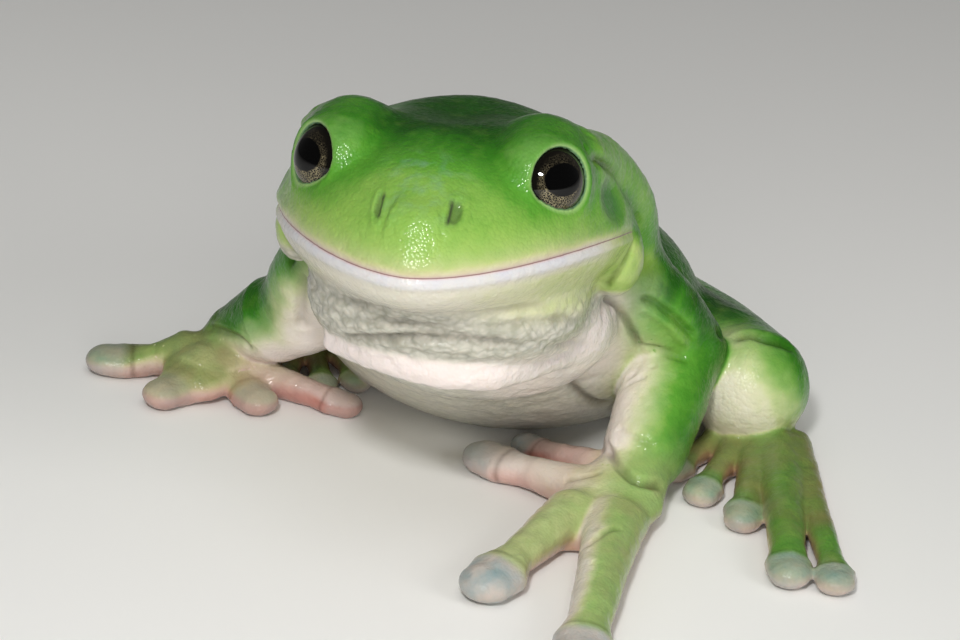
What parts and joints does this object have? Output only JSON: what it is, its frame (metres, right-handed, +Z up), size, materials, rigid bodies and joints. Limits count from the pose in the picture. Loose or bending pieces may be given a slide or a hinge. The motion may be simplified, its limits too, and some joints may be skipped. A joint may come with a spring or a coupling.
{
  "type": "tree frog model",
  "caption": "Life-size still model of a large green tree frog, resting on the ground with its head raised, hands spread in front and hind legs folded",
  "frame": {"origin": "middle of the footprint, on the ground under the belly", "axes": "+Z up, the frog faces -Y, its left side is +X"},
  "size_m": [0.0884, 0.1002, 0.0453],
  "materials": {
    "skin": "moist granular living skin, lime green above, cream and pinkish white below",
    "eye": "wet clear cornea over a dark brown iris with fine gold veining"
  },
  "bodies": {
    "root": {"head": "skin", "lower_jaw": "skin", "throat": "skin", "chest": "skin", "abdomen": "skin", "rump": "skin", "left_upper_arm": "skin", "left_forearm": "skin", "left_hand": "skin", "left_finger_1": "skin", "left_finger_2": "skin", "left_finger_3": "skin", "left_finger_4": "skin", "left_thigh": "skin", "left_shank": "skin", "left_tarsus": "skin", "left_foot": "skin", "left_toe_1": "skin", "left_toe_2": "skin", "left_toe_3": "skin", "left_toe_4": "skin", "left_toe_5": "skin", "right_upper_arm": "skin", "right_forearm": "skin", "right_hand": "skin", "right_finger_1": "skin", "right_finger_2": "skin", "right_finger_3": "skin", "right_finger_4": "skin", "right_thigh": "skin", "right_shank": "skin", "right_tarsus": "skin", "right_foot": "skin", "right_toe_1": "skin", "right_toe_2": "skin", "right_toe_3": "skin", "right_toe_4": "skin", "right_toe_5": "skin", "left_eye": "eye", "right_eye": "eye"}
  },
  "joints": []
}
